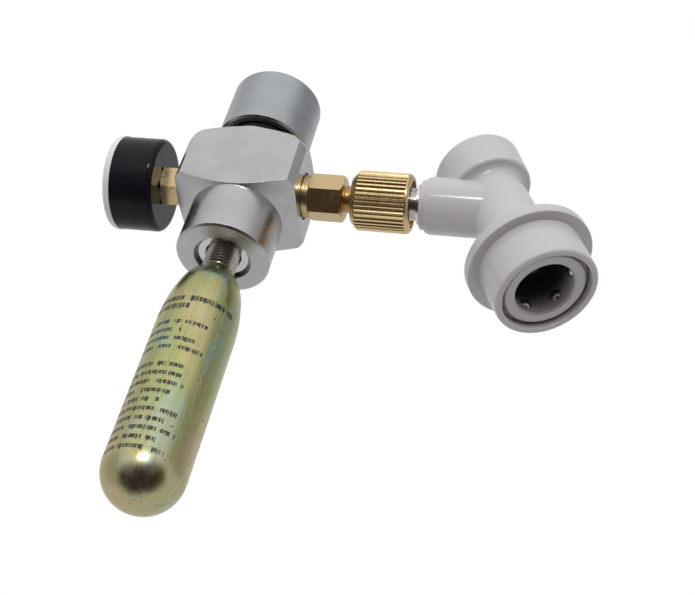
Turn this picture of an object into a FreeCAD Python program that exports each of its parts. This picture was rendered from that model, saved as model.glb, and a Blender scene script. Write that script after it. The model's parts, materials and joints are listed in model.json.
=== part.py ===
import FreeCAD, Part
import math
import os

# Portable gas charger for ball-lock kegs: a mini regulator with a pressure gauge, a 16 g
# cartridge under it and a ball-lock gas disconnect on its outlet. Millimetres.
# Drawn with the disconnect's mouth at height 0 and +Z up along its socket's axis, then moved
# down so that the origin is the middle of the bore that guides the keg's post.
# The regulator is drawn in its own frame: +Z from cartridge to knob, +X from gauge to outlet.

V = FreeCAD.Vector
X_DIR, Y_DIR, Z_DIR = V(1, 0, 0), V(0, 1, 0), V(0, 0, 1)
ORIGIN = V(0, 0, 0)

# how the two halves meet
ARM_TILT = 26.87      # the arm rises this many degrees away from the disconnect
CLOCKING = 4.05       # the regulator is turned this much about the outlet's axis
CROSS_Z = 36.5        # height where the arm's axis meets the socket's axis
CROSS_X = 75.8        # distance from the cartridge's axis to the socket's axis, along the arm

# regulator body
BAR_R = 21.3          # round bar the body is milled from
HALF_X, HALF_Y = 18.0, 14.0
BLOCK_LOW, BLOCK_HIGH = -11.4, 13.6
SHOULDER_R = 13.65    # receiver and neck radius, where the conical shoulders start
SHOULDER_RISE = 3.54
SHOULDER_ROUND = 4.0  # on the knob side only
NECK_TOP = 14.2
RECEIVER_LOW = -27.9
RECEIVER_CHAMFER = 0.6
RECESS_R, RECESS_TOP = 8.4, -24.6
INSERT_R, INSERT_LOW, INSERT_TOP = 7.6, -26.6, -13.5
INSERT_BORE_R, INSERT_MOUTH_R = 4.87, 5.35
PIN_FLANGE_TOP = -11.5
FILTER_R, FILTER_TOP = 3.5, -9.0
VALVE_R, VALVE_TOP = 3.2, -3.6
SEAT_TOP, SEAT_HOLE_R = -2.4, 1.4
CYLINDER_R, CYLINDER_TOP = 8.0, 10.5
BONNET_FIT_R = 10.3
PORT_R, PORT_BOTTOM, PORT_DRILL_R = 4.85, 11.5, 1.5
SPOTFACE_R, SPOTFACE_X = 7.0, 16.5
RUN = 0.05            # running clearance on a radius

# cartridge, 22 mm outside with a 3/8 inch 24 TPI neck
CART_R, CART_WALL = 11.0, 1.1
CART_TOP, CART_SHOULDER, CART_END = -24.1, -33.0, -112.7
CART_THREAD_R, CART_ROOT_R, CART_PITCH = 4.76, 4.28, 1.058
CART_NECK_BORE_R = 2.7

# adjusting group
KNOB_R, KNOB_LOW, KNOB_TOP = 14.0, 18.6, 40.5
KNOB_BORE_R, KNOB_ROOF = 11.9, 35.0
BONNET_R, BONNET_BORE_R = 11.2, 8.3
BONNET_TOP, BONNET_ROOF = 30.0, 27.0
SCREW_R = 4.0
BUTTON_LOW, BUTTON_TOP = 22.0, 24.5
PISTON_LOW, PISTON_TOP = 3.2, 9.5

# gauge, distances out from the cartridge's axis
GAUGE_R, GAUGE_WALL = 14.0, 1.1
GAUGE_BACK, GAUGE_RIM = 25.4, 38.1
GAUGE_EDGE_R = 1.6
LENS_R, LENS_FRONT = 14.15, 40.3
STEM_HEX_AF = 11.0
PINION_R, SECTOR_R, PINION_TEETH, SECTOR_TEETH = 1.2, 9.0, 8, 60
GEAR_Z, GEAR_THICK = 34.6, 0.8
DIAL_Z = 36.2

# outlet, distances along +X
STEM_HEX_AF_OUT, HEX_START, HEX_END = 12.1, 19.9, 30.2
OUT_THREAD_R, OUT_ROOT_R, OUT_PITCH, OUT_THREAD_END = 4.2, 3.72, 1.0, 41.0
NUT_R, NUT_START, NUT_END = 8.82, 32.8, 50.15
NUT_CHAMFER, KNURL_END, KNURL_COUNT, KNURL_DEPTH = 1.9, 49.0, 40, 0.42
NUT_MOUTH_R, NUT_MOUTH = 7.0, 1.5     # recess in the nut's end, around the insert
NIPPLE_R, INSERT_FLANGE_R = 4.8, 6.0

# disconnect
ARM_R, ARM_LIP_R, ARM_END, ARM_LIP = 8.45, 7.3, 52.9, 1.8
NECK_R, CUP_FILLET = 9.4, 2.0
CUP_LOW_R, CUP_R, CUP_LOW, CUP_HIGH = 12.5, 13.15, 44.6, 56.9
CAP_LOW, CAP_HIGH, CAP_R = 50.9, 56.2, 11.2
SOCKET_R, SOCKET_BORE_R, SOCKET_RELIEF_R = 11.53, 8.5, 8.7
SOCKET_RIM, BORE_CHAMFER, LAND_END, SOCKET_ROOF = 1.4, 0.6, 3.8, 15.0
COLLAR_BORE_R, COLLAR_R, COLLAR_MOUTH_R = 12.8, 15.15, 14.7
COLLAR_FLANGE_R, FLANGE_LOW, FLANGE_HIGH = 18.15, 12.55, 16.05
COLLAR_LIFT = 3.5
STOP_R, STOP_LOW = 12.6, 12.9
BALL_R, BALL_Z, BALL_AT, BALL_COUNT, BALL_FIRST = 2.0, 5.8, 9.77, 6, 57.0
BALL_TRAVEL = 0.75
BALL_LIP_R, BALL_LIP_AT, BALL_HOLE_R, BALL_HOLE_AT = 1.6, 8.3, 2.08, 9.3
NECK_BORE_R, PLUG_R, PLUG_LOW = 5.0, 7.0, 44.0

parts = {}


def turned(points):
    """A solid of revolution about Z. Each point is (r, z) or (r, z, corner radius)."""
    n = len(points)
    flat = [V(p[0], 0, p[1]) for p in points]
    edges = []
    ends = []
    for i, p in enumerate(points):
        here, before, after = flat[i], flat[i - 1], flat[(i + 1) % n]
        if len(p) < 3:
            ends.append((here, here, None))
            continue
        a, b = (before - here).normalize(), (after - here).normalize()
        half = a.getAngle(b) / 2
        back = p[2] / math.tan(half)
        middle = here + (a + b).normalize() * (p[2] / math.sin(half) - p[2])
        ends.append((here + a * back, here + b * back, middle))
    for i in range(n):
        start, end, middle = ends[i]
        if middle is not None:
            edges.append(Part.Arc(start, middle, end).toShape())
        edges.append(Part.makeLine(end, ends[(i + 1) % n][0]))
    return Part.Face(Part.Wire(edges)).revolve(ORIGIN, Z_DIR, 360)


def rod(r, low, high):
    return Part.makeCylinder(r, high - low, V(0, 0, low))


def tube(outer, inner, low, high):
    return rod(outer, low, high).cut(rod(inner, low - 1, high + 1))


def prism(across_flats, low, high, first_corner):
    """A hexagonal prism along Z with its corners broken at both ends."""
    corner = across_flats / math.sqrt(3)
    pts = [V(corner * math.cos(math.radians(first_corner + 60 * k)),
             corner * math.sin(math.radians(first_corner + 60 * k)), low) for k in range(7)]
    solid = Part.Face(Part.makePolygon(pts)).extrude(V(0, 0, high - low))
    break_r, drop = across_flats / 2, (corner - across_flats / 2) * 0.6
    return solid.common(turned([(0, low), (break_r, low), (corner, low + drop),
                                (corner, high - drop), (break_r, high), (0, high)]))


def threaded(crest, root, pitch, low, high):
    """Profile points, rising, of a rod whose thread is drawn as plain ridges."""
    count = int((high - low) / pitch)
    pts = []
    for k in range(count):
        base = low + k * pitch
        pts += [(root, base), (crest, base + 0.4 * pitch), (crest, base + 0.6 * pitch)]
    return pts + [(root, low + count * pitch), (root, high)]


def wheel(teeth, pitch_r, addendum, dedendum, low, high, phase, first=0, last=None):
    """A small gear along Z, or the stretch of one from tooth first to tooth last."""
    step = 2 * math.pi / teeth
    pts = []
    for k in range(first, teeth if last is None else last):
        centre = math.radians(phase) + k * step
        for r, side in ((pitch_r - dedendum, -0.23), (pitch_r + addendum, -0.07),
                        (pitch_r + addendum, 0.07), (pitch_r - dedendum, 0.23)):
            pts.append(V(r * math.cos(centre + side * step), r * math.sin(centre + side * step), low))
    if last is not None:
        pts.append(V(0, 0, low))
    return Part.Face(Part.makePolygon(pts + [pts[0]])).extrude(V(0, 0, high - low))


def coil(mean_r, wire_r, low, high, turns):
    """A compression spring along Z, its wire inside low and high."""
    rise = high - low - 2 * wire_r
    helix = Part.makeHelix(rise / turns, rise, mean_r)
    ring = Part.Wire(Part.makeCircle(wire_r, V(mean_r, 0, 0), Y_DIR))
    spring = Part.Wire(helix.Edges).makePipeShell([ring], True, True)
    spring.translate(V(0, 0, low + wire_r))
    return spring


def outlet_side(shape):
    """Turn a shape drawn along Z so that Z becomes the outlet's +X."""
    moved = shape.copy()
    moved.rotate(ORIGIN, Y_DIR, 90)
    return moved


def gauge_side(shape):
    """Turn a shape drawn along Z so that Z becomes the gauge's -X."""
    moved = shape.copy()
    moved.rotate(ORIGIN, Y_DIR, -90)
    return moved


def on_arm(shape):
    """Place a shape from the regulator's frame, without clocking, into the row frame."""
    moved = shape.copy()
    moved.rotate(ORIGIN, Y_DIR, ARM_TILT)
    tilt = math.radians(ARM_TILT)
    moved.translate(V(-CROSS_X * math.cos(tilt), 0, CROSS_Z + CROSS_X * math.sin(tilt)))
    return moved


def on_regulator(shape):
    moved = shape.copy()
    moved.rotate(ORIGIN, X_DIR, CLOCKING)
    return on_arm(moved)


# ---- regulator body ----
body = turned([(0, BLOCK_LOW), (SHOULDER_R, BLOCK_LOW), (BAR_R, BLOCK_LOW + SHOULDER_RISE),
               (BAR_R, BLOCK_HIGH - SHOULDER_RISE, SHOULDER_ROUND), (SHOULDER_R, BLOCK_HIGH),
               (0, BLOCK_HIGH)])
body = body.common(Part.makeBox(2 * HALF_X, 2 * HALF_Y, 60, V(-HALF_X, -HALF_Y, -30)))
receiver = turned([(0, RECEIVER_LOW), (SHOULDER_R - RECEIVER_CHAMFER, RECEIVER_LOW),
                   (SHOULDER_R, RECEIVER_LOW + RECEIVER_CHAMFER), (SHOULDER_R, BLOCK_LOW), (0, BLOCK_LOW)])
body = body.fuse([receiver, rod(SHOULDER_R, BLOCK_HIGH, NECK_TOP)])
inner = turned([(0, RECEIVER_LOW), (RECESS_R, RECEIVER_LOW), (RECESS_R, RECESS_TOP), (INSERT_R, RECESS_TOP),
                (INSERT_R, PIN_FLANGE_TOP), (FILTER_R, PIN_FLANGE_TOP), (FILTER_R, FILTER_TOP),
                (VALVE_R, FILTER_TOP), (VALVE_R, SEAT_TOP), (CYLINDER_R, SEAT_TOP),
                (CYLINDER_R, CYLINDER_TOP), (BONNET_FIT_R, CYLINDER_TOP), (BONNET_FIT_R, NECK_TOP),
                (0, NECK_TOP)])
body = body.cut([inner, outlet_side(rod(PORT_R, PORT_BOTTOM, HALF_X)),
                 gauge_side(rod(PORT_R, PORT_BOTTOM, HALF_X)),
                 outlet_side(rod(PORT_DRILL_R, -PORT_BOTTOM, PORT_BOTTOM)),
                 outlet_side(rod(SPOTFACE_R, SPOTFACE_X, HALF_X))])
parts["regulator_body"] = on_regulator(body.removeSplitter())

# ---- inlet: what the cartridge screws into ----
insert = turned([(INSERT_MOUTH_R, INSERT_LOW), (INSERT_R - 0.3, INSERT_LOW), (INSERT_R, INSERT_LOW + 0.3),
                 (INSERT_R, INSERT_TOP), (INSERT_BORE_R, INSERT_TOP), (INSERT_BORE_R, INSERT_LOW + 0.9)])
parts["cartridge_insert"] = on_regulator(insert)

PIN_R, PIN_BORE_R, PIN_TIP = 1.25, 0.5, -18.2
pin = rod(INSERT_R - RUN, INSERT_TOP, PIN_FLANGE_TOP - 0.5).fuse(rod(PIN_R, PIN_TIP, INSERT_TOP))
slant = Part.makeBox(6, 6, 3, V(-3, -3, -3))
slant.rotate(ORIGIN, Y_DIR, 35)
slant.translate(V(0, 0, PIN_TIP + 0.6))
pin = pin.cut([rod(PIN_BORE_R, PIN_TIP - 1, PIN_FLANGE_TOP), slant])
parts["piercing_pin"] = on_regulator(pin)
parts["piercing_pin_seal"] = on_regulator(tube(INSERT_BORE_R - RUN, PIN_R + RUN, INSERT_TOP - 1.2, INSERT_TOP))
parts["inlet_filter"] = on_regulator(rod(FILTER_R - RUN, FILTER_TOP - 2.2, FILTER_TOP))

# ---- valve ----
parts["valve_seat"] = on_regulator(tube(VALVE_R - 0.02, SEAT_HOLE_R, VALVE_TOP, SEAT_TOP))
poppet = turned([(0, -7.6), (1.2, -7.6), (1.2, -6.4), (2.5, -6.4), (2.5, VALVE_TOP - 0.75),
                 (0.8, VALVE_TOP + 0.35), (0.8, PISTON_LOW - RUN), (0, PISTON_LOW - RUN)])
parts["valve_poppet"] = on_regulator(poppet)
parts["valve_spring"] = on_regulator(coil(1.85, 0.3, FILTER_TOP + 0.05, -6.45, 3))

# ---- piston and what presses on it ----
GROOVE_LOW, GROOVE_HIGH, GROOVE_R = 5.0, 7.0, 6.3
piston = turned([(0, PISTON_LOW), (CYLINDER_R - 0.4, PISTON_LOW), (CYLINDER_R - RUN, PISTON_LOW + 0.4),
                 (CYLINDER_R - RUN, GROOVE_LOW), (GROOVE_R, GROOVE_LOW), (GROOVE_R, GROOVE_HIGH),
                 (CYLINDER_R - RUN, GROOVE_HIGH), (CYLINDER_R - RUN, PISTON_TOP),
                 (3.9, PISTON_TOP), (3.9, PISTON_TOP + 2.5), (0, PISTON_TOP + 2.5)])
parts["piston"] = on_regulator(piston)
ring_r = (CYLINDER_R - RUN - GROOVE_R) / 2
parts["piston_o_ring"] = on_regulator(Part.makeTorus(GROOVE_R + ring_r, ring_r, V(0, 0, 6.0)))
parts["main_spring"] = on_regulator(coil(5.6, 0.9, PISTON_TOP + 0.02, BUTTON_LOW - 0.02, 4))
button = turned([(0, BUTTON_LOW - 2), (3.9, BUTTON_LOW - 2), (3.9, BUTTON_LOW), (7.6, BUTTON_LOW),
                 (7.6, BUTTON_TOP - 0.4), (7.2, BUTTON_TOP), (0, BUTTON_TOP)])
parts["spring_button"] = on_regulator(button)
bonnet = turned([(BONNET_BORE_R, CYLINDER_TOP + RUN), (BONNET_FIT_R - RUN, CYLINDER_TOP + RUN),
                 (BONNET_FIT_R - RUN, NECK_TOP), (BONNET_R, NECK_TOP), (BONNET_R, BONNET_TOP - 0.8),
                 (BONNET_R - 0.8, BONNET_TOP), (SCREW_R + RUN, BONNET_TOP),
                 (SCREW_R + RUN, BONNET_ROOF), (BONNET_BORE_R, BONNET_ROOF)])
parts["bonnet"] = on_regulator(bonnet)
screw = turned([(0, BUTTON_TOP + RUN)] + [(SCREW_R - 0.8, BUTTON_TOP + RUN), (SCREW_R, BUTTON_TOP + 0.9)]
               + [(SCREW_R, KNOB_ROOF + 4.0), (0, KNOB_ROOF + 4.0)])
parts["adjusting_screw"] = on_regulator(screw)
knob = turned([(KNOB_BORE_R, KNOB_LOW), (KNOB_R - 0.7, KNOB_LOW), (KNOB_R, KNOB_LOW + 0.5),
               (KNOB_R, KNOB_TOP, 0.9), (0, KNOB_TOP), (0, KNOB_ROOF + 4.0), (SCREW_R, KNOB_ROOF + 4.0),
               (SCREW_R, KNOB_ROOF), (KNOB_BORE_R, KNOB_ROOF)])
parts["knob"] = on_regulator(knob)

# ---- cartridge ----
shoulder = [(4.4, CART_SHOULDER - 0.2), (5.3, -34.5), (6.35, -35.8), (7.5, -37.6), (8.5, -39.9),
            (9.5, -43.3), (10.4, -48.0), (CART_R, -56.0)]
outline = Part.BSplineCurve()
outline.interpolate([V(r, 0, z) for r, z in reversed(shoulder)], InitialTangent=V(0, 0, 1),
                    FinalTangent=V(-0.5, 0, 1))
DOME = CART_END + CART_R
thread = threaded(CART_THREAD_R, CART_ROOT_R, CART_PITCH, CART_SHOULDER + 0.2, CART_TOP - 0.3)
neck_pts = [V(r, 0, z) for r, z in [(4.4, CART_SHOULDER - 0.2)] + thread + [(CART_ROOT_R - 0.3, CART_TOP)]]


def arc_point(r):
    return V(r * math.cos(math.radians(45)), 0, DOME - r * math.sin(math.radians(45)))


INNER_R = CART_R - CART_WALL
inside = [V(CART_NECK_BORE_R, 0, CART_TOP), V(CART_NECK_BORE_R, 0, -34.5), V(6.5, 0, -38.5),
          V(9.1, 0, -47.0), V(INNER_R, 0, -56.0)]
shell = [Part.Arc(V(0, 0, CART_END), arc_point(CART_R), V(CART_R, 0, DOME)).toShape(),
         Part.makeLine(V(CART_R, 0, DOME), V(CART_R, 0, -56.0)), outline.toShape(),
         Part.makePolygon(neck_pts + inside + [V(INNER_R, 0, DOME)]),
         Part.Arc(V(INNER_R, 0, DOME), arc_point(INNER_R), V(0, 0, DOME - INNER_R)).toShape(),
         Part.makeLine(V(0, 0, DOME - INNER_R), V(0, 0, CART_END))]
shell_edges = [edge for item in shell for edge in item.Edges]
shell_wire = Part.Wire(Part.__sortEdges__(shell_edges))
parts["cartridge_shell"] = on_regulator(Part.Face(shell_wire).revolve(ORIGIN, Z_DIR, 360))
parts["cartridge_seal"] = on_regulator(rod(CART_NECK_BORE_R - 0.01, CART_TOP - 1.2, CART_TOP - 0.5))

# ---- gauge ----
HUB_R = 4.0
case = turned([(HUB_R, GAUGE_BACK), (GAUGE_R, GAUGE_BACK, GAUGE_EDGE_R), (GAUGE_R, GAUGE_RIM),
               (GAUGE_R - GAUGE_WALL, GAUGE_RIM), (GAUGE_R - GAUGE_WALL, GAUGE_BACK + GAUGE_WALL, 0.5),
               (HUB_R, GAUGE_BACK + GAUGE_WALL)])
parts["gauge_case"] = on_regulator(gauge_side(case))
LUG_W, LUG_LOW, LUG_TOP = 4.0, 29.5, 33.2
gauge_stem = turned([(0, PORT_BOTTOM + 0.8)] + threaded(PORT_R - 0.1, PORT_R - 0.6, 0.9, PORT_BOTTOM + 0.8,
                    HALF_X - 0.4)[:-1] + [(PORT_R - 0.6, HALF_X), (0, HALF_X)])
gauge_stem = gauge_stem.fuse([prism(STEM_HEX_AF, HALF_X, GAUGE_BACK, 224), rod(HUB_R, GAUGE_BACK, LUG_LOW),
                              Part.makeBox(2.6 + HUB_R + 6.3, LUG_W, LUG_TOP - LUG_LOW,
                                           V(-HUB_R - 6.3, -LUG_W / 2, LUG_LOW))])
gauge_stem = gauge_stem.cut(rod(1.0, PORT_BOTTOM, LUG_LOW + 2))
parts["gauge_stem"] = on_regulator(gauge_side(gauge_stem))

# C-shaped tube: fixed in the lug at one end, its free tip pulls the sector by a link
TUBE_MEAN_R, TUBE_Z = 9.6, 31.2
bourdon = Part.makeTorus(TUBE_MEAN_R, 1.0, V(0, 0, TUBE_Z), Z_DIR, 0, 360, 250)
bourdon.rotate(ORIGIN, Z_DIR, -166.5)
parts["bourdon_tube"] = on_regulator(gauge_side(bourdon))

PIVOT = PINION_R + SECTOR_R + 0.02
PIVOT_ANGLE = 60.0
pivot_at = V(PIVOT * math.cos(math.radians(PIVOT_ANGLE)), PIVOT * math.sin(math.radians(PIVOT_ANGLE)), 0)
plate = Part.makeBox(13.5, LUG_W, 0.7, V(-9.5, -LUG_W / 2, LUG_TOP))
lobe = Part.makeBox(PIVOT + 1.6, 3.6, 0.7, V(0, -1.8, LUG_TOP))
lobe.rotate(ORIGIN, Z_DIR, PIVOT_ANGLE)
pivot_pin = rod(0.6, LUG_TOP, GEAR_Z + GEAR_THICK + 0.5)
pivot_pin.translate(pivot_at)
plate = plate.fuse([lobe, pivot_pin]).cut(rod(0.45 + RUN, LUG_TOP - 1, LUG_TOP + 2))
parts["movement_plate"] = on_regulator(gauge_side(plate.removeSplitter()))

# the sector's teeth run from the meshing line onward, so it can swing through its range
sector = wheel(SECTOR_TEETH, SECTOR_R, 0.24, 0.36, GEAR_Z, GEAR_Z + GEAR_THICK, 3.0, -8, 1)
sector = sector.fuse(rod(1.3, GEAR_Z, GEAR_Z + GEAR_THICK)).cut(rod(0.6 + RUN, GEAR_Z - 1, GEAR_Z + 2))
sector.rotate(ORIGIN, Z_DIR, PIVOT_ANGLE + 180)
sector.translate(pivot_at)
parts["sector_gear"] = on_regulator(gauge_side(sector))

needle = wheel(PINION_TEETH, PINION_R, 0.24, 0.34, GEAR_Z - 0.1, GEAR_Z + GEAR_THICK + 0.1, PIVOT_ANGLE)
NEEDLE_Z, NEEDLE_REST = 37.3, 135.0
pointer = Part.Face(Part.makePolygon([V(-3.2, -0.7, NEEDLE_Z), V(0, -0.5, NEEDLE_Z), V(9.6, -0.12, NEEDLE_Z),
                                      V(9.6, 0.12, NEEDLE_Z), V(0, 0.5, NEEDLE_Z), V(-3.2, 0.7, NEEDLE_Z),
                                      V(-3.2, -0.7, NEEDLE_Z)])).extrude(V(0, 0, 0.25))
pointer.rotate(ORIGIN, Z_DIR, NEEDLE_REST)
needle = needle.fuse([rod(0.45, LUG_TOP + 0.1, NEEDLE_Z), rod(1.2, NEEDLE_Z - 0.1, NEEDLE_Z + 0.5), pointer])
parts["gauge_needle"] = on_regulator(gauge_side(needle))

dial = tube(GAUGE_R - GAUGE_WALL - 0.2, 0.9, DIAL_Z, DIAL_Z + 0.4)
for leg_x in (-8.8, -5.5):
    leg = rod(0.6, LUG_TOP + 0.7, DIAL_Z)
    leg.translate(V(leg_x, 0, 0))
    dial = dial.fuse(leg)
parts["gauge_dial"] = on_regulator(gauge_side(dial))
lens = turned([(0, LENS_FRONT - 1.2), (12.0, LENS_FRONT - 1.2), (12.0, GAUGE_RIM - 0.9),
               (GAUGE_R - GAUGE_WALL - 0.02, GAUGE_RIM - 0.9), (GAUGE_R - GAUGE_WALL - 0.02, GAUGE_RIM),
               (LENS_R, GAUGE_RIM), (LENS_R, LENS_FRONT, 1.2), (0, LENS_FRONT)])
parts["gauge_lens"] = on_regulator(gauge_side(lens))

# ---- outlet ----
WASHER_END, GROOVE_END = 17.6, 17.95
washer = tube(6.6, 3.4, SPOTFACE_X, WASHER_END)
parts["outlet_washer"] = on_regulator(outlet_side(washer))
profile = [(2.0, PORT_BOTTOM + 1.0)]
profile += [(r, z) for r, z in threaded(PORT_R - 0.1, PORT_R - 0.6, 0.9, PORT_BOTTOM + 1.0, SPOTFACE_X - 0.2)]
profile += [(3.35, SPOTFACE_X), (3.35, WASHER_END), (5.6, WASHER_END), (5.6, GROOVE_END), (6.3, GROOVE_END),
            (6.3, HEX_START), (2.0, HEX_START)]
stem = turned(profile)
tip = turned([(2.0, HEX_END), (3.6, HEX_END)] + threaded(OUT_THREAD_R, OUT_ROOT_R, OUT_PITCH, HEX_END + 0.3,
             OUT_THREAD_END) + [(3.1, 42.4), (2.0, 42.4)])
hexagon = prism(STEM_HEX_AF_OUT, HEX_START, HEX_END, 54.4).cut(rod(2.0, HEX_START - 1, HEX_END + 1))
parts["outlet_stem"] = on_regulator(outlet_side(stem.fuse([hexagon, tip]).removeSplitter()))

# straight-knurled swivel nut
step = 2 * math.pi / KNURL_COUNT
ridges = []
for k in range(KNURL_COUNT):
    for r, part_of_step in ((NUT_R - KNURL_DEPTH, 0.0), (NUT_R, 0.32), (NUT_R, 0.68)):
        angle = (k + part_of_step) * step
        ridges.append(V(r * math.cos(angle), r * math.sin(angle), NUT_START))
knurl = Part.Face(Part.makePolygon(ridges + [ridges[0]])).extrude(V(0, 0, KNURL_END - NUT_START))
NUT_BAND_R = NUT_R - 0.15
outer = turned([(0, NUT_START), (NUT_R - NUT_CHAMFER, NUT_START), (NUT_R, NUT_START + NUT_CHAMFER),
                (NUT_R, KNURL_END), (0, KNURL_END)])
band = turned([(0, KNURL_END), (NUT_BAND_R, KNURL_END), (NUT_BAND_R, NUT_END - 0.7),
               (NUT_BAND_R - 0.7, NUT_END), (0, NUT_END)])
nut = knurl.common(outer).fuse(band)
NUT_BORE_END, NUT_CAVITY_END, NUT_CAVITY_R = 41.6, 46.45, 6.3
nut = nut.cut([rod(OUT_THREAD_R + RUN, NUT_START - 1, NUT_BORE_END),
               rod(NUT_CAVITY_R, NUT_BORE_END, NUT_CAVITY_END),
               rod(NIPPLE_R + RUN, NUT_CAVITY_END, NUT_END), rod(NUT_MOUTH_R, NUT_END - NUT_MOUTH, NUT_END)])
parts["knurled_nut"] = on_regulator(outlet_side(nut.removeSplitter()))

# stainless insert in the arm's end, held by the nut, with a soft washer on its face
NIPPLE_END = 60.0
nipple = turned([(1.6, 43.6), (INSERT_FLANGE_R, 43.6), (INSERT_FLANGE_R, 46.3), (NIPPLE_R, 46.3), (NIPPLE_R, 50.0),
                 (4.45, 50.3), (NIPPLE_R, 50.6), (4.45, 50.9), (NIPPLE_R, 51.2), (4.45, 51.5), (4.9, ARM_END - 0.9),
                 (5.9, ARM_END - 0.9), (5.9, ARM_END), (NIPPLE_R, ARM_END), (NIPPLE_R, NIPPLE_END), (1.6, NIPPLE_END)])
parts["flare_insert"] = on_arm(outlet_side(nipple))
parts["flare_seal"] = on_arm(outlet_side(tube(4.0, 1.6, 42.7, 43.6)))

# ---- disconnect body: arm, neck and socket in one moulding ----
moulding = turned([(0, SOCKET_ROOF), (SOCKET_RELIEF_R, SOCKET_ROOF), (SOCKET_RELIEF_R, LAND_END),
                   (SOCKET_BORE_R, LAND_END), (SOCKET_BORE_R, SOCKET_RIM + BORE_CHAMFER),
                   (SOCKET_BORE_R + 0.5, SOCKET_RIM), (SOCKET_R, SOCKET_RIM, 0.35), (SOCKET_R, 2.3),
                   (SOCKET_R - 0.4, 2.3), (SOCKET_R - 0.4, 3.1), (SOCKET_R, 3.1), (SOCKET_R, STOP_LOW),
                   (STOP_R, STOP_LOW), (STOP_R, FLANGE_HIGH + 1.0), (NECK_R, FLANGE_HIGH + 4.0),
                   (NECK_R, CUP_LOW), (0, CUP_LOW)])
# the cup that holds the screw cap, with a fillet up from the neck
fillet_r, fillet_z = NECK_R + CUP_FILLET, CUP_LOW - CUP_FILLET
fillet_mid = V(fillet_r - CUP_FILLET * math.cos(math.pi / 4), 0, fillet_z + CUP_FILLET * math.sin(math.pi / 4))
fillet_edges = [Part.Arc(V(NECK_R, 0, fillet_z), fillet_mid, V(fillet_r, 0, CUP_LOW)).toShape(),
                Part.makePolygon([V(fillet_r, 0, CUP_LOW), V(fillet_r, 0, CUP_LOW + 1), V(NECK_R - 1, 0, CUP_LOW + 1),
                                  V(NECK_R - 1, 0, fillet_z), V(NECK_R, 0, fillet_z)])]
fillet_wire = Part.Wire([edge for item in fillet_edges for edge in item.Edges])
fillet = Part.Face(fillet_wire).revolve(ORIGIN, Z_DIR, 360)
cup = turned([(0, CUP_LOW), (CUP_LOW_R, CUP_LOW, 1.05), (CUP_R, CUP_HIGH, 1.1), (0, CUP_HIGH)])
arm = turned([(0, ARM_END), (ARM_LIP_R, ARM_END, 0.5), (ARM_LIP_R, ARM_END + ARM_LIP),
              (ARM_R - 0.4, ARM_END + ARM_LIP), (ARM_R, ARM_END + ARM_LIP + 1.2), (ARM_R, CROSS_X), (0, CROSS_X)])
moulding = moulding.fuse([fillet, cup, on_arm(outlet_side(arm))])
neck_inside = turned([(0, SOCKET_ROOF - 1), (2.6, SOCKET_ROOF - 1), (2.6, 17.6), (NECK_BORE_R, 20.0),
                      (NECK_BORE_R, PLUG_LOW - 1), (PLUG_R + RUN, PLUG_LOW - 1), (PLUG_R + RUN, CAP_LOW - RUN),
                      (CAP_R + 0.2, CAP_LOW - RUN), (CAP_R + 0.2, CUP_HIGH), (0, CUP_HIGH)])
arm_inside = turned([(0, ARM_END - 1), (NIPPLE_R, ARM_END - 1), (NIPPLE_R, NIPPLE_END + 0.5), (2.4, NIPPLE_END + 0.5),
                     (2.4, CROSS_X), (0, CROSS_X)])
holes = [neck_inside, on_arm(outlet_side(arm_inside))]
for k in range(BALL_COUNT):
    hole = turned([(0, BALL_LIP_AT), (BALL_LIP_R, BALL_LIP_AT), (BALL_HOLE_R, BALL_HOLE_AT),
                   (BALL_HOLE_R, SOCKET_R + 0.5), (0, SOCKET_R + 0.5)])
    hole.rotate(ORIGIN, Y_DIR, 90)
    hole.translate(V(0, 0, BALL_Z))
    hole.rotate(ORIGIN, Z_DIR, BALL_FIRST + k * 360 / BALL_COUNT)
    holes.append(hole)
parts["disconnect_body"] = moulding.cut(holes).removeSplitter()

for k in range(BALL_COUNT):
    angle = math.radians(BALL_FIRST + k * 360 / BALL_COUNT)
    parts["lock_ball_%d" % (k + 1)] = Part.makeSphere(
        BALL_R, V(BALL_AT * math.cos(angle), BALL_AT * math.sin(angle), BALL_Z))

# ---- collar: its inner ledge is tapered, so lifting it lets the balls out ----
LEDGE_LOW, LEDGE_TOP = 3.3, 8.3
LEDGE_R = BALL_AT + BALL_R + 0.1
slope = BALL_TRAVEL / COLLAR_LIFT
collar = turned([(COLLAR_BORE_R, 0.0, 0.4), (COLLAR_MOUTH_R, 0.0, 0.9), (COLLAR_R, FLANGE_LOW),
                 (COLLAR_FLANGE_R, FLANGE_LOW, 0.35), (COLLAR_FLANGE_R, FLANGE_HIGH, 0.7),
                 (COLLAR_BORE_R, FLANGE_HIGH), (COLLAR_BORE_R, LEDGE_TOP), (SOCKET_R + 0.12, LEDGE_TOP),
                 (LEDGE_R, BALL_Z + 0.4),
                 (LEDGE_R + slope * (BALL_Z + 0.4 - LEDGE_LOW), LEDGE_LOW), (COLLAR_BORE_R, LEDGE_LOW)])
parts["release_collar"] = collar
parts["collar_spring"] = coil(11.98, 0.4, LEDGE_TOP + 0.05, STOP_LOW - 0.05, 3)
parts["collar_retaining_ring"] = tube(12.7, SOCKET_R - 0.4, 2.35, 3.05)

# ---- disconnect poppet ----
HEAD_TOP = 24.0
check = turned([(0, 10.0), (1.5, 10.0, 0.4), (1.5, 17.3), (2.4, 18.0), (2.4, 19.7), (4.3, 21.2),
                (4.3, HEAD_TOP - 1.5), (2.9, HEAD_TOP - 1.5), (2.9, HEAD_TOP), (0, HEAD_TOP)])
parts["disconnect_poppet"] = check
parts["poppet_seal"] = Part.makeTorus(2.4 + 0.62, 0.6, V(0, 0, 19.0))
parts["poppet_spring"] = coil(3.7, 0.5, HEAD_TOP - 1.45, PLUG_LOW - 0.05, 5)

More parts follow.
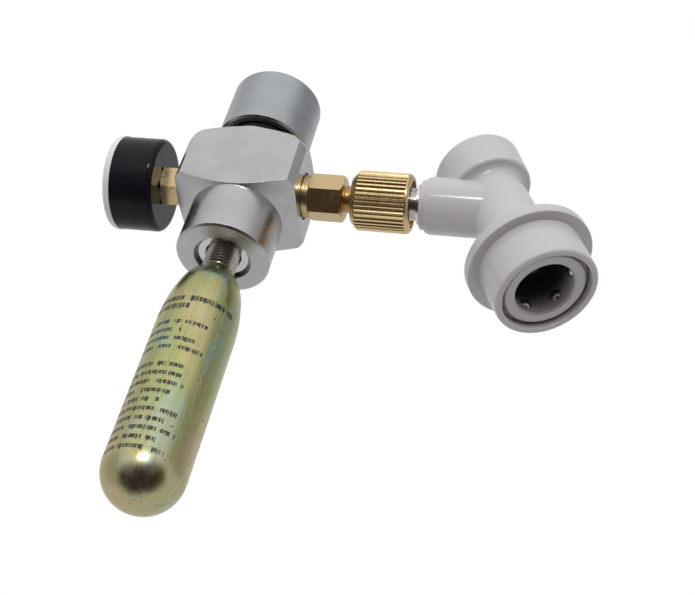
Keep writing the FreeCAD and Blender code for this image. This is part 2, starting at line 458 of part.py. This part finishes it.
# ---- screw cap ----
PLUG_GROOVE = (47.2, 48.8, 5.9)
cap = turned([(0, PLUG_LOW), (PLUG_R, PLUG_LOW), (PLUG_R, PLUG_GROOVE[0]), (PLUG_GROOVE[2], PLUG_GROOVE[0]),
              (PLUG_GROOVE[2], PLUG_GROOVE[1]), (PLUG_R, PLUG_GROOVE[1]), (PLUG_R, CAP_LOW),
              (CAP_R, CAP_LOW, 0.4), (CAP_R, CAP_HIGH, 0.8), (0, CAP_HIGH)])
SLOT_LONG, SLOT_WIDE, SLOT_DEEP = 17.0, 2.6, 2.2
slot = Part.makeBox(SLOT_LONG, SLOT_WIDE, SLOT_DEEP, V(-SLOT_LONG / 2, -SLOT_WIDE / 2, CAP_HIGH - SLOT_DEEP))
parts["disconnect_cap"] = cap.cut(slot)
seal_r = (PLUG_R - PLUG_GROOVE[2]) / 2
parts["cap_o_ring"] = Part.makeTorus(PLUG_GROOVE[2] + seal_r, seal_r, V(0, 0, sum(PLUG_GROOVE[:2]) / 2))

os.makedirs("parts", exist_ok=True)
for name, shape in parts.items():
    solid = shape if shape.ShapeType == "Solid" else shape.Solids[0]
    assert len(shape.Solids) == 1, name
    solid.translate(V(0, 0, -(SOCKET_RIM + BORE_CHAMFER + LAND_END) / 2))
    solid.exportStep(os.path.join("parts", name + ".step"))
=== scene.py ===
"""Portable gas charger for ball-lock kegs: materials, dial print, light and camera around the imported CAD.

Two frames are used. The row frame stands on the disconnect's socket, with +Z up out of the keg. The regulator's
frame has its origin where the cartridge's axis meets the outlet's axis, +Z towards the knob, +X towards the outlet
and -Y to the front. Materials work in millimetres in one of the two.
"""

import json
import math

import bpy
from mathutils import Euler, Matrix, Vector


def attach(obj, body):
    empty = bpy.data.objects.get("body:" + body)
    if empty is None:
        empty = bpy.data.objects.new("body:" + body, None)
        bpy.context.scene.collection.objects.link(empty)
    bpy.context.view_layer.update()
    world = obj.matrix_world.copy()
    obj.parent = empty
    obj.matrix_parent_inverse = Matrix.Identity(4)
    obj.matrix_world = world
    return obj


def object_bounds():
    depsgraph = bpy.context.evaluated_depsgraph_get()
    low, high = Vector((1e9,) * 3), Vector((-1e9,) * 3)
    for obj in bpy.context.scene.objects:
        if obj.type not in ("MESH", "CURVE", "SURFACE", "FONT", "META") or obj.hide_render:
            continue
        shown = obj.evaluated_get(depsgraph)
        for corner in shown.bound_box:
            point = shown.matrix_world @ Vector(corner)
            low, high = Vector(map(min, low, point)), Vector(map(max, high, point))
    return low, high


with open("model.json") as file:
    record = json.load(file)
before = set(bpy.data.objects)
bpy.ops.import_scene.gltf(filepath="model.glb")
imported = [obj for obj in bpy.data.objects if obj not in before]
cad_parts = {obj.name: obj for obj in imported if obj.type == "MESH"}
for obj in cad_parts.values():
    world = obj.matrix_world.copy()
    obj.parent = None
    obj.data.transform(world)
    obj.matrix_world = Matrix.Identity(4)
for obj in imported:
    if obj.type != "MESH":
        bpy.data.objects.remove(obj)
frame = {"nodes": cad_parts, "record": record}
cad_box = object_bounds()

MM = 0.001
REGULATOR_AT = Vector((-0.0676162, 0.0, 0.0678592))
REGULATOR_TURN = Euler((math.radians(4.05), math.radians(26.87), 0.0), "XYZ")
ROW = (Vector((0.0, 0.0, 0.0)), Euler((0.0, 0.0, 0.0)))
REGULATOR = (REGULATOR_AT, REGULATOR_TURN)


class Look:
    """A node material on a Principled shader. Values are sockets or plain numbers."""

    def __init__(self, name, place=ROW):
        self.mat = bpy.data.materials.new(name)
        self.mat.use_nodes = True
        self.tree = self.mat.node_tree
        self.shader = self.tree.nodes["Principled BSDF"]
        spot = self.put("TexCoord", out="Object")
        at, turn = place
        self.spot = self.put("Mapping", {"Vector": spot, "Location": at, "Rotation": turn,
                                         "Scale": (MM, MM, MM)}, vector_type="TEXTURE")

    def put(self, kind, feeds=None, out=0, **settings):
        node = self.tree.nodes.new("ShaderNode" + kind)
        for key, value in settings.items():
            setattr(node, key, value)
        for key, value in (feeds or {}).items():
            self.feed(node.inputs[key], value)
        return node.outputs[out]

    def feed(self, socket, value):
        if isinstance(value, bpy.types.NodeSocket):
            self.tree.links.new(value, socket)
        elif socket.type == "RGBA":
            socket.default_value = tuple(value[:3]) + (1.0,)
        else:
            socket.default_value = value

    def set(self, **values):
        """Sets the shader's sockets: base_color, roughness and so on."""
        for key, value in values.items():
            name = key.replace("_", " ").title().replace("Ior", "IOR")
            self.feed(self.shader.inputs[name], value)

    def sum(self, op, *terms):
        return self.put("Math", dict(enumerate(terms)), operation=op)

    def stretch(self, factors, vector=None):
        return self.put("VectorMath", {0: vector or self.spot, 1: factors}, operation="MULTIPLY")

    def xyz(self):
        node = self.put("SeparateXYZ", {0: self.spot}).node
        return node.outputs[0], node.outputs[1], node.outputs[2]

    def reach(self, one, other):
        """Distance from an axis, from the two coordinates across it."""
        return self.sum("SQRT", self.sum("ADD", self.sum("MULTIPLY", one, one), self.sum("MULTIPLY", other, other)))

    def noise(self, scale, detail=2.0, rough=0.5, vector=None):
        return self.put("TexNoise", {"Vector": vector or self.spot, "Scale": scale, "Detail": detail,
                                     "Roughness": rough})

    def line_noise(self, w, scale, detail=1.0):
        return self.put("TexNoise", {"W": w, "Scale": scale, "Detail": detail}, noise_dimensions="1D")

    def span(self, value, low, high, to_low=0.0, to_high=1.0):
        return self.put("MapRange", {0: value, 1: low, 2: high, 3: to_low, 4: to_high},
                        interpolation_type="SMOOTHSTEP")

    def mix(self, amount, one, other, blend="MIX"):
        node = self.tree.nodes.new("ShaderNodeMix")
        node.data_type = "RGBA"
        node.blend_type = blend
        for index, value in ((0, amount), (6, one), (7, other)):
            self.feed(node.inputs[index], value)
        return node.outputs[2]

    def ramp(self, value, stops):
        node = self.put("ValToRGB", {0: value}).node
        bar = node.color_ramp.elements
        while len(bar) < len(stops):
            bar.new(0.5)
        for element, (position, colour) in zip(bar, stops):
            element.position = position
            element.color = tuple(colour) + (1.0,)
        return node.outputs[0]

    def bump(self, height, depth_mm, strength=1.0, normal=None):
        feeds = {"Height": height, "Distance": depth_mm * MM, "Strength": strength}
        if normal is not None:
            feeds["Normal"] = normal
        return self.put("Bump", feeds)

    def rounded(self, radius_mm):
        """The normal with its edges softened, and a mask of where it differs from the flat one."""
        soft = self.put("Bevel", {"Radius": radius_mm * MM}, samples=6)
        flat = self.put("NewGeometry", out="Normal")
        likeness = self.put("VectorMath", {0: soft, 1: flat}, out="Value", operation="DOT_PRODUCT")
        return soft, self.span(likeness, 0.995, 0.90)


def cast(name, place, colour, rough, axis=None, marks=0.0, mark_pitch=0.25, grain=0.0, grain_size=0.12,
         mottle=0.06, stain=None, stain_share=0.0, edge=0.12, edge_wear_and_highlight=0.35, metal=1.0, spin=0.0, knurl=None):
    """A metal: tint that drifts, stains, lathe marks around an axis, grain, and brighter edges, partly wear and partly
    a painted highlight.
    """
    look = Look(name, place)
    broad = look.noise(0.11, 3.0)
    tint = look.mix(look.span(broad, 0.3, 0.7), [c * (1 - mottle) for c in colour],
                    [min(1.0, c * (1 + mottle)) for c in colour])
    roughness = look.span(look.noise(0.35, 4.0, 0.6), 0.25, 0.75, rough * 0.85, rough * 1.2)
    if stain:
        patch = look.span(look.noise(0.45, 5.0, 0.65), 0.62 - 0.25 * stain_share, 0.74 - 0.2 * stain_share)
        tint = look.mix(patch, tint, stain)
        roughness = look.sum("MULTIPLY_ADD", patch, 0.12, roughness)
    soft, edges = look.rounded(edge)
    # Edges lightened in colour: partly wear, partly a painted highlight along the rounded edges.
    tint = look.mix(look.sum("MULTIPLY", edges, edge_wear_and_highlight), tint, [min(1.0, c * 1.5 + 0.08) for c in colour])
    normal = soft
    x, y, z = look.xyz()
    if knurl:
        # Knurl colours: grooves darkened with a painted shade in the recesses, crests lightened with a painted
        # highlight.
        low, high, root, crest, groove_shade, crest_highlight = knurl
        zone = look.sum("MULTIPLY", look.sum("GREATER_THAN", x, low), look.sum("LESS_THAN", x, high))
        out = look.reach(y, z)
        zone = look.sum("MULTIPLY", zone, look.sum("GREATER_THAN", out, root - 0.2))
        tint = look.mix(look.sum("MULTIPLY", zone, look.span(out, crest, root)), tint, groove_shade)
        tint = look.mix(look.sum("MULTIPLY", zone, look.span(out, (root + crest) / 2, crest)), tint, crest_highlight)
    if marks:
        along = {"X": x, "Y": y, "Z": z}[axis]
        others = {"X": (y, z), "Y": (x, z), "Z": (x, y)}[axis]
        run = look.sum("MULTIPLY_ADD", look.reach(*others), 1.3, along)
        rings = look.line_noise(run, 1.0 / mark_pitch, 2.0)
        normal = look.bump(rings, marks, 1.0, normal)
        tint = look.mix(look.span(rings, 0.3, 0.7, 0.0, 0.12), tint, [c * 0.8 for c in colour])
        if spin:
            around = {"X": (1, 0, 0), "Y": (0, 1, 0), "Z": (0, 0, 1)}[axis]
            world_axis = place[1].to_matrix() @ Vector(around)
            spot = look.put("TexCoord", out="Object")
            arm = look.put("VectorMath", {0: spot, 1: place[0]}, operation="SUBTRACT")
            tangent = look.put("VectorMath", {0: world_axis, 1: arm}, operation="CROSS_PRODUCT")
            look.set(anisotropic=spin, tangent=tangent)
    if grain:
        normal = look.bump(look.noise(1.0 / grain_size, 2.0, 0.6), grain, 1.0, normal)
    look.set(base_color=tint, metallic=metal, roughness=roughness, normal=normal)
    return look.mat


def moulded(name, place, colour, rough, peel=0.004, peel_size=0.5, drift=0.03, soft_light=0.0, edge=0.15,
            coat=0.0, speck=0.0, bore_shade=None):
    """A moulded plastic, rubber or paint: faint drift in tint and gloss, orange peel, dust, softened edges with a
    painted highlight, and painted shade deep in a bore when one is given.
    """
    look = Look(name, place)
    broad = look.span(look.noise(0.08, 3.0), 0.3, 0.7)
    tint = look.mix(broad, [c * (1 - drift) for c in colour], [min(1.0, c * (1 + drift)) for c in colour])
    if speck:
        dust = look.span(look.noise(2.6, 2.0, 0.7), 0.71, 0.76)
        tint = look.mix(look.sum("MULTIPLY", dust, speck), tint, [0.5 * c + 0.2 for c in colour])
    soft, edges = look.rounded(edge)
    # Edges lightened in colour: a painted highlight along the rounded edges.
    tint = look.mix(look.sum("MULTIPLY", edges, 0.25), tint, [min(1.0, c * 1.15 + 0.01) for c in colour])
    # Inside the socket's bore the tint darkens with depth: a painted shade in the recess.
    if bore_shade:
        reach, start, end, roof, bore_shade_tint = bore_shade
        x, y, z = look.xyz()
        inside = look.sum("MULTIPLY", look.sum("LESS_THAN", look.reach(x, y), reach), look.sum("LESS_THAN", z, roof))
        tint = look.mix(look.sum("MULTIPLY", inside, look.span(z, start, end)), tint, bore_shade_tint)
    smudge = look.noise(0.22, 4.0, 0.6)
    normal = look.bump(look.noise(1.0 / peel_size, 2.0, 0.5), peel, 1.0, soft)
    look.set(base_color=tint, roughness=look.span(smudge, 0.3, 0.7, rough * 0.85, rough * 1.2), normal=normal,
             subsurface_weight=soft_light, subsurface_scale=1.2 * MM, coat_weight=coat, coat_roughness=0.08)
    return look.mat


def zinc_shell(name):
    """Steel gas cartridge in yellow zinc passivate: bands of olive, gold, teal and pink, with black print."""
    look = Look(name, REGULATOR)
    x, y, z = look.xyz()
    turn = look.sum("ARCTAN2", x, look.sum("MULTIPLY", y, -1.0))
    cloud = look.noise(1.0, 4.0, 0.55, look.stretch((0.085, 0.085, 0.03)))
    fine = look.noise(1.0, 3.0, 0.6, look.stretch((0.4, 0.4, 0.12)))
    drift = look.sum("MULTIPLY_ADD", fine, 0.22, cloud)
    film = look.ramp(look.span(drift, 0.36, 0.86), [
        (0.0, (0.36, 0.54, 0.48)), (0.28, (0.42, 0.51, 0.32)), (0.50, (0.45, 0.47, 0.20)),
        (0.68, (0.54, 0.49, 0.23)), (0.84, (0.62, 0.48, 0.34)), (1.0, (0.54, 0.46, 0.50))])
    low = look.span(z, -78.0, -112.0, 0.0, 0.4)
    film = look.mix(low, film, (0.62, 0.48, 0.32))
    streaks = look.line_noise(turn, 9.0, 2.0)
    film = look.mix(look.span(streaks, 0.50, 0.66, 0.0, 0.35), film, (0.32, 0.31, 0.14))
    scuffs = look.span(look.noise(1.0, 5.0, 0.7, look.stretch((0.9, 0.9, 0.25))), 0.56, 0.72)
    film = look.mix(look.sum("MULTIPLY", scuffs, 0.35), film, (0.42, 0.40, 0.30))
    spots = look.span(look.noise(1.15, 1.0, 0.5), 0.735, 0.76)
    film = look.mix(spots, film, (0.10, 0.08, 0.05))
    neck = look.span(z, -35.2, -33.6)
    film = look.mix(neck, film, (0.50, 0.49, 0.45))
    # A darker band where the shoulder meets the neck.
    neck_band = look.sum("MULTIPLY", look.span(z, -38.0, -34.5), look.span(z, -31.5, -34.0))
    film = look.mix(look.sum("MULTIPLY", neck_band, 0.55), film, (0.30, 0.26, 0.16))
    print_mask = greeked_rows(look, z, turn)
    film = look.mix(print_mask, film, (0.012, 0.013, 0.018))
    roughness = look.span(look.noise(0.5, 4.0, 0.6), 0.3, 0.7, 0.20, 0.30)
    roughness = look.sum("MULTIPLY_ADD", print_mask, 0.25, roughness)
    dents = look.bump(look.noise(1.0, 3.0, 0.5, look.stretch((0.22, 0.22, 0.10))), 0.10, 1.0)
    normal = look.bump(look.noise(6.0, 2.0, 0.6), 0.0025, 1.0, dents)
    metallic = look.sum("SUBTRACT", 1.0, look.sum("MULTIPLY", print_mask, 0.9))
    look.set(base_color=film, metallic=metallic, roughness=roughness, normal=normal)
    return look.mat


def greeked_rows(look, z, turn):
    """Rows of plain dashes where a cartridge carries its small print: no letters, only bars and gaps."""
    first_row, pitch, rows = -52.0, 2.88, 18
    blank_rows = (2, 7)
    down = look.sum("DIVIDE", look.sum("SUBTRACT", first_row, z), pitch)
    row = look.sum("FLOOR", down)
    part = look.sum("FRACT", down)
    heavy = look.sum("LESS_THAN", row, 1.5)
    height = look.sum("MULTIPLY_ADD", heavy, 0.16, 0.42)
    inside = look.sum("MULTIPLY", look.sum("GREATER_THAN", down, 0.0), look.sum("LESS_THAN", down, rows))
    for blank in blank_rows:
        inside = look.sum("MULTIPLY", inside, look.sum("SUBTRACT", 1.0, look.sum("COMPARE", row, blank, 0.5)))
    chance = look.put("TexWhiteNoise", {"W": row}, noise_dimensions="1D")
    top_row = look.sum("LESS_THAN", row, 0.5)
    end = look.sum("MULTIPLY_ADD", top_row, 0.75, look.sum("MULTIPLY_ADD", chance, 0.75, 0.05))
    inside = look.sum("MULTIPLY", inside, look.sum("LESS_THAN", turn, end))
    inside = look.sum("MULTIPLY", inside, look.sum("GREATER_THAN", turn, -2.3))
    arc = look.sum("MULTIPLY_ADD", row, 37.0, look.sum("MULTIPLY", turn, 11.0))
    words = look.span(look.line_noise(arc, 0.33), 0.36, 0.39)
    strokes = look.span(look.line_noise(arc, 2.5), 0.40, 0.46)
    tall = look.sum("MULTIPLY", look.sum("GREATER_THAN", look.line_noise(arc, 1.1), 0.58), 0.13)
    bar = look.sum("LESS_THAN", part, look.sum("ADD", height, tall))
    mask = look.sum("MULTIPLY", look.sum("MULTIPLY", words, strokes), look.sum("MULTIPLY", bar, inside))
    return look.sum("MULTIPLY", mask, 0.93)


def clear_window(name):
    """Clear moulded window with a milky rim, where the plastic is thick and left rough from the mould."""
    look = Look(name, REGULATOR)
    _, y, z = look.xyz()
    rim = look.span(look.reach(y, z), 12.0, 12.9)
    haze = look.span(look.noise(0.5, 4.0, 0.6), 0.4, 0.7, 0.04, 0.12)
    tint = look.mix(look.noise(0.2, 2.0), (0.97, 0.98, 0.98), (0.93, 0.95, 0.96))
    look.set(base_color=tint, roughness=look.sum("MULTIPLY_ADD", rim, 0.5, haze), ior=1.49,
             transmission_weight=look.sum("MULTIPLY_ADD", rim, -0.75, 0.85), normal=look.bump(look.noise(0.9, 2.0), 0.002))
    return look.mat


def gauge_paint(name):
    """Glossy black enamel on a pressed steel case."""
    look = Look(name, REGULATOR)
    tint = look.mix(look.noise(0.15, 3.0), (0.006, 0.006, 0.010), (0.013, 0.013, 0.018))
    dust = look.span(look.noise(2.2, 2.0, 0.7), 0.73, 0.78)
    tint = look.mix(look.sum("MULTIPLY", dust, 0.5), tint, (0.16, 0.16, 0.17))
    soft, _ = look.rounded(0.2)
    ripple = look.bump(look.noise(0.35, 2.0, 0.4), 0.03, 1.0, soft)
    look.set(base_color=tint, roughness=look.span(look.noise(0.4, 4.0, 0.6), 0.3, 0.7, 0.08, 0.14),
             specular_ior_level=0.18, normal=look.bump(look.noise(2.5, 2.0), 0.002, 1.0, ripple))
    return look.mat


# ---- one material for each finish ----
ALUMINIUM, KNOB_TINT = (0.52, 0.52, 0.525), (0.435, 0.46, 0.48)
looks = {
    "satin_aluminium": cast("satin_aluminium", REGULATOR, ALUMINIUM, 0.27, "Z", 0.0008, 0.22, 0.0007, 0.10,
                            edge=0.16, edge_wear_and_highlight=0.55, spin=0.25),
    "knob_aluminium": cast("knob_aluminium", REGULATOR, KNOB_TINT, 0.27, "Z", 0.0012, 0.18, 0.0008, 0.10,
                           edge=0.16, edge_wear_and_highlight=0.5, spin=0.35),
    "nickel": cast("nickel", REGULATOR, (0.72, 0.70, 0.66), 0.16, "Z", 0.003, 0.3, 0.001, 0.2, edge=0.06),
    "steel": cast("steel", ROW, (0.62, 0.61, 0.60), 0.2, "Z", 0.002, 0.2, 0.001, 0.15, edge=0.05),
    "dark_steel": cast("dark_steel", REGULATOR, (0.22, 0.18, 0.17), 0.38, "Z", 0.003, 0.25, 0.002, 0.15,
                       edge=0.06, stain=(0.10, 0.08, 0.06), stain_share=0.4),
    "spring_steel": cast("spring_steel", REGULATOR, (0.42, 0.42, 0.44), 0.3, None, 0.0, 0.2, 0.003, 0.2,
                         edge=0.03, stain=(0.25, 0.22, 0.18), stain_share=0.3),
    # brass: its knurl tuple paints shade into the grooves and a highlight onto the crests.
    "brass": cast("brass", REGULATOR, (0.66, 0.50, 0.27), 0.25, "X", 0.002, 0.22, 0.0015, 0.10, mottle=0.05,
                  stain=(0.55, 0.41, 0.21), stain_share=0.2, edge=0.10, edge_wear_and_highlight=0.5, spin=0.2,
                  knurl=(33.4, 49.0, 8.4, 8.8, (0.40, 0.25, 0.10), (0.93, 0.70, 0.37))),
    "aged_brass": cast("aged_brass", REGULATOR, (0.50, 0.43, 0.28), 0.36, "X", 0.004, 0.25, 0.003, 0.15,
                       mottle=0.12, stain=(0.28, 0.23, 0.15), stain_share=0.6, edge=0.08),
    "sintered_bronze": cast("sintered_bronze", REGULATOR, (0.50, 0.33, 0.18), 0.55, None, 0.0, 0.2, 0.02, 0.12,
                            mottle=0.15, edge=0.05),
    "black_rubber": moulded("black_rubber", ROW, (0.018, 0.018, 0.019), 0.55, 0.01, 0.3, 0.1, edge=0.05,
                            speck=0.3),
    "white_seal": moulded("white_seal", ROW, (0.78, 0.77, 0.73), 0.4, 0.004, 0.4, 0.03, edge=0.05),
    "gauge_black": gauge_paint("gauge_black"),
    "black_aluminium": cast("black_aluminium", REGULATOR, (0.035, 0.036, 0.04), 0.4, "Z", 0.003, 0.2, 0.002,
                            0.12, edge=0.08, metal=0.6),
    "gauge_lens": clear_window("gauge_lens"),
    "dial_white": moulded("dial_white", REGULATOR, (0.83, 0.83, 0.81), 0.45, 0.001, 0.2, 0.02, edge=0.05),
    "needle_black": moulded("needle_black", REGULATOR, (0.014, 0.014, 0.015), 0.35, 0.001, 0.2, 0.05,
                            edge=0.03),
    # grey_plastic: bore_shade paints shade deeper into the socket's bore.
    "grey_plastic": moulded("grey_plastic", ROW, (0.655, 0.645, 0.665), 0.12, 0.0015, 0.9, 0.010,
                            soft_light=0.08, edge=0.18, speck=0.10, bore_shade=(8.8, -0.3, 7.0, 12.6, (0.085, 0.080, 0.083))),
    "zinc_yellow": zinc_shell("zinc_yellow"),
}

slot_of = {entry["node"]: entry["material_slot"] for entry in frame["record"]["subparts"]}
for name, node in frame["nodes"].items():
    node.data.materials.clear()
    node.data.materials.append(looks[slot_of[name]])


# ---- print on the gauge's dial ----
DIAL_FACE, PRINT_THICK = 36.6, 0.03
SCALE_TOP, SWEEP, ZERO_AT = 60, 270.0, 135.0
MAJOR_STEP, MINOR_STEP = 10, 2
TICK_OUT, MAJOR_IN, MINOR_IN = 12.0, 10.2, 11.1
NUMBER_R, NUMBER_HIGH = 8.2, 2.3


def dial_point(up, left, out):
    """A point of the dial, seen from its front: up is towards the knob, out is away from the body."""
    return Matrix.LocRotScale(REGULATOR_AT, REGULATOR_TURN, None) @ (Vector((-out, left, up)) * MM)


def flat_piece(outline, verts, faces):
    """Adds a thin plate with this outline, in (up, left), standing on the dial."""
    start, n = len(verts), len(outline)
    for out in (DIAL_FACE + 0.005, DIAL_FACE + PRINT_THICK):
        verts += [dial_point(up, left, out) for up, left in outline]
    faces.append([start + i for i in range(n)])
    faces.append([start + n + i for i in reversed(range(n))])
    faces += [[start + i, start + n + i, start + n + (i + 1) % n, start + (i + 1) % n] for i in range(n)]


def dial_marks():
    verts, faces = [], []
    for value in range(0, SCALE_TOP + 1, MINOR_STEP):
        angle = math.radians(ZERO_AT - SWEEP * value / SCALE_TOP)
        major = value % MAJOR_STEP == 0
        inner, half = (MAJOR_IN, 0.16) if major else (MINOR_IN, 0.07)
        c, s = math.cos(angle), math.sin(angle)
        flat_piece([(r * c - w * s, r * s + w * c) for r, w in
                    ((inner, -half), (TICK_OUT, -half), (TICK_OUT, half), (inner, half))], verts, faces)
    steps = 96
    for k in range(steps):
        a, b = (math.radians(ZERO_AT - SWEEP * t / steps) for t in (k, k + 1))
        flat_piece([(r * math.cos(t), r * math.sin(t)) for r, t in
                    ((TICK_OUT, a), (TICK_OUT, b), (TICK_OUT + 0.12, b), (TICK_OUT + 0.12, a))], verts, faces)
    for value in range(0, SCALE_TOP + 1, MAJOR_STEP):
        angle = math.radians(ZERO_AT - SWEEP * value / SCALE_TOP)
        add_number(str(value), NUMBER_R * math.cos(angle), NUMBER_R * math.sin(angle), verts, faces)
    mesh = bpy.data.meshes.new("dial_marks")
    mesh.from_pydata(verts, [], faces)
    piece = bpy.data.objects.new("dial_marks", mesh)
    bpy.context.scene.collection.objects.link(piece)
    mesh.materials.append(looks["needle_black"])
    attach(piece, "regulator")


def add_number(text, up, left, verts, faces):
    """Adds a scale number, upright and centred at this place on the dial."""
    curve = bpy.data.curves.new("number", "FONT")
    curve.body, curve.size = text, NUMBER_HIGH * 1.3
    curve.align_x, curve.align_y = "CENTER", "CENTER"
    curve.extrude = PRINT_THICK / 2
    holder = bpy.data.objects.new("number", curve)
    bpy.context.scene.collection.objects.link(holder)
    bpy.context.view_layer.update()
    mesh = bpy.data.meshes.new_from_object(holder.evaluated_get(bpy.context.evaluated_depsgraph_get()))
    start = len(verts)
    verts += [dial_point(up + v.co.y, left - v.co.x, DIAL_FACE + 0.02 + v.co.z) for v in mesh.vertices]
    faces += [[start + i for i in face.vertices] for face in mesh.polygons]
    bpy.data.objects.remove(holder)
    bpy.data.meshes.remove(mesh)
    bpy.data.curves.remove(curve)


dial_marks()


# ---- floor, light and camera ----
FLOOR_Z, FLOOR_HALF = -0.45, 6.0


def floor():
    mesh = bpy.data.meshes.new("floor")
    mesh.from_pydata([(x, y, FLOOR_Z) for x, y in ((-FLOOR_HALF, -FLOOR_HALF), (FLOOR_HALF, -FLOOR_HALF),
                                                   (FLOOR_HALF, FLOOR_HALF), (-FLOOR_HALF, FLOOR_HALF))],
                     [], [(0, 1, 2, 3)])
    plane = bpy.data.objects.new("floor", mesh)
    bpy.context.scene.collection.objects.link(plane)
    look = Look("floor_paper")
    tint = look.mix(look.noise(0.004, 3.0), (0.90, 0.90, 0.90), (0.94, 0.94, 0.93))
    look.set(base_color=tint, roughness=0.9, normal=look.bump(look.noise(0.8, 3.0), 0.05))
    mesh.materials.append(look.mat)
    plane.visible_glossy = plane.visible_diffuse = plane.visible_shadow = False


def tent():
    """A white light tent, open at the front and below, as a smooth function of direction."""
    world = bpy.data.worlds.new("tent")
    bpy.context.scene.world = world
    world.use_nodes = True
    tree = world.node_tree
    tree.nodes.clear()

    def put(kind, feeds, out=0, **settings):
        node = tree.nodes.new("ShaderNode" + kind)
        for key, value in settings.items():
            setattr(node, key, value)
        for key, value in feeds.items():
            if isinstance(value, bpy.types.NodeSocket):
                tree.links.new(value, node.inputs[key])
            else:
                node.inputs[key].default_value = value
        return node.outputs[out]

    direction = put("TexCoord", {}, "Generated")
    level = TENT_LEVEL
    for towards, inner, outer, gain in TENT_LOBES:
        nearness = put("VectorMath", {0: direction, 1: Vector(towards).normalized()}, "Value",
                       operation="DOT_PRODUCT")
        lobe = put("MapRange", {0: nearness, 1: math.cos(math.radians(outer)),
                                2: math.cos(math.radians(inner)), 3: 0.0, 4: gain},
                   interpolation_type="SMOOTHSTEP")
        level = put("Math", {0: lobe, 1: level}, operation="ADD")
    level = put("Math", {0: level, 1: TENT_FLOOR}, operation="MAXIMUM")
    seen = put("LightPath", {}, "Is Camera Ray")
    strength = put("Math", {0: seen, 1: put("Math", {0: 1.0, 1: level}, operation="SUBTRACT"), 2: level},
                   operation="MULTIPLY_ADD")
    warmth = put("MapRange", {0: strength, 1: TENT_FLOOR, 2: 0.45}, interpolation_type="SMOOTHSTEP")
    tone = tree.nodes.new("ShaderNodeValToRGB")
    tone.color_ramp.elements[0].color = (1.0, 0.66, 0.60, 1.0)
    tone.color_ramp.elements[1].color = (1.0, 1.0, 1.0, 1.0)
    tree.links.new(warmth, tone.inputs[0])
    background = put("Background", {"Color": tone.outputs[0], "Strength": strength})
    tree.links.new(background, tree.nodes.new("ShaderNodeOutputWorld").inputs["Surface"])


# direction, inner and outer half-angle in degrees, and what it adds to the tent's level
TENT_LEVEL, TENT_FLOOR = 0.66, 0.05
TENT_LOBES = (
    ((0.05, -1.0, 0.15), 15, 75, 0.30),
    ((0.22, -0.56, -0.80), 24, 52, -0.62),
    ((-0.48, -0.56, -0.68), 24, 52, -0.62),
    ((1.0, 0.1, 0.25), 10, 40, -0.25),
    ((-1.0, -0.3, 0.3), 10, 45, -0.18),
)
LAMP_TOWARDS, LAMP_AWAY, LAMP_POWER = Vector((0.055, -0.995, -0.078)), 0.9, 2.4
LAMP_WIDE, LAMP_HIGH = 0.32, 0.07


def lamp():
    low, high = cad_box
    centre = (Vector(low) + Vector(high)) / 2
    light = bpy.data.lights.new("lamp", "AREA")
    light.shape, light.size, light.size_y, light.energy = "RECTANGLE", LAMP_WIDE, LAMP_HIGH, LAMP_POWER
    holder = bpy.data.objects.new("lamp", light)
    bpy.context.scene.collection.objects.link(holder)
    holder.location = centre + LAMP_TOWARDS * LAMP_AWAY
    holder.rotation_euler = (centre - holder.location).to_track_quat("-Z", "Y").to_euler()
    holder.visible_camera = False


CAMERA_AT = Vector((-0.10024, -0.24103, -0.23709))
CAMERA_FORWARD = Vector((0.14024, 0.68629, 0.71368))
CAMERA_UP = Vector((0.23103, -0.72359, 0.65042))
FOCAL_MM, SENSOR_MM = 67.34, 36.0


def camera():
    data = bpy.data.cameras.new("camera")
    data.lens, data.sensor_width, data.sensor_fit = FOCAL_MM, SENSOR_MM, "HORIZONTAL"
    data.clip_start, data.clip_end = 0.01, 50.0
    data.dof.use_dof = False
    eye = bpy.data.objects.new("camera", data)
    bpy.context.scene.collection.objects.link(eye)
    forward = CAMERA_FORWARD.normalized()
    right = forward.cross(CAMERA_UP).normalized()
    up = right.cross(forward)
    eye.matrix_world = Matrix.Translation(CAMERA_AT) @ Matrix((right, up, -forward)).transposed().to_4x4()
    bpy.context.scene.camera = eye


floor()
tent()
lamp()
camera()
bpy.context.scene.view_settings.view_transform = "Standard"
